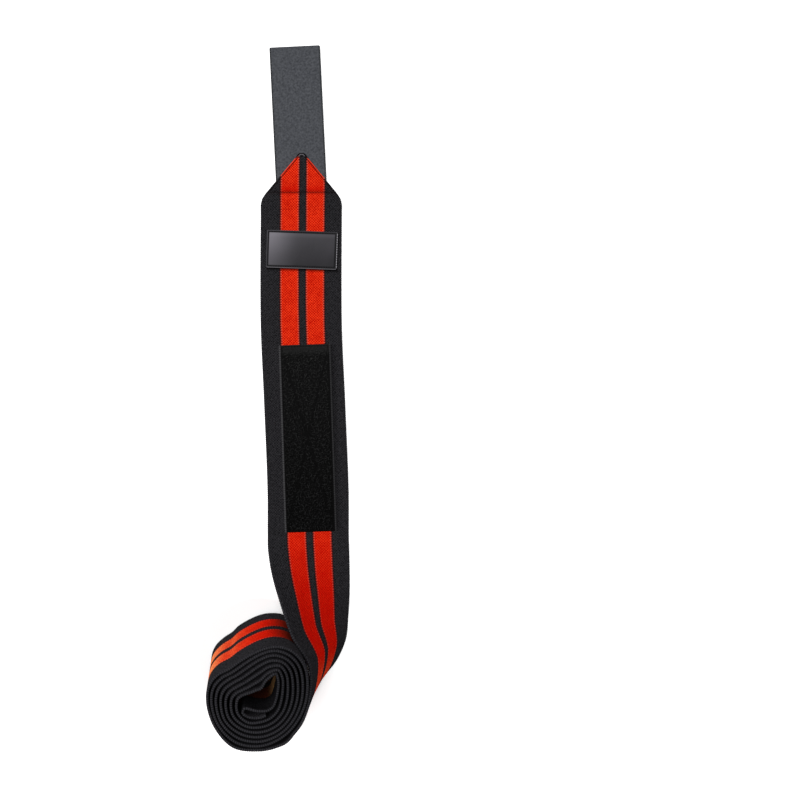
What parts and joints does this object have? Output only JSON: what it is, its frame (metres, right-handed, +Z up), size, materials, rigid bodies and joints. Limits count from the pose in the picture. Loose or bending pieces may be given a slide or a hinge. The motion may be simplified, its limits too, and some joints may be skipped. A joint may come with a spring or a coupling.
{
  "type": "knee wrap",
  "caption": "Elastic knee wrap, part of it rolled up on end and the rest laid flat, with a pointed end, a hook strap, a loop patch and a blank label.",
  "frame": {"origin": "centre of the footprint, on the surface that the wrap lies on", "axes": "+Y from the roll along the flat tail to the hook strap, +Z up, +X to the right when seen from above with the strap at the far end"},
  "size_m": [0.1362, 0.6482, 0.08],
  "materials": {
    "elastic_knit": "matte black knitted elastic with two woven red stripes",
    "hook_tape": "fine woven grey tape, slightly shiny, hooks underneath",
    "loop_pile": "matte black loop pile",
    "label_rubber": "satin dark grey moulded rubber with a rubbed rim"
  },
  "bodies": {
    "root": {"elastic_band": "elastic_knit", "hook_strap": "hook_tape", "loop_patch": "loop_pile", "label_patch": "label_rubber"}
  },
  "joints": []
}
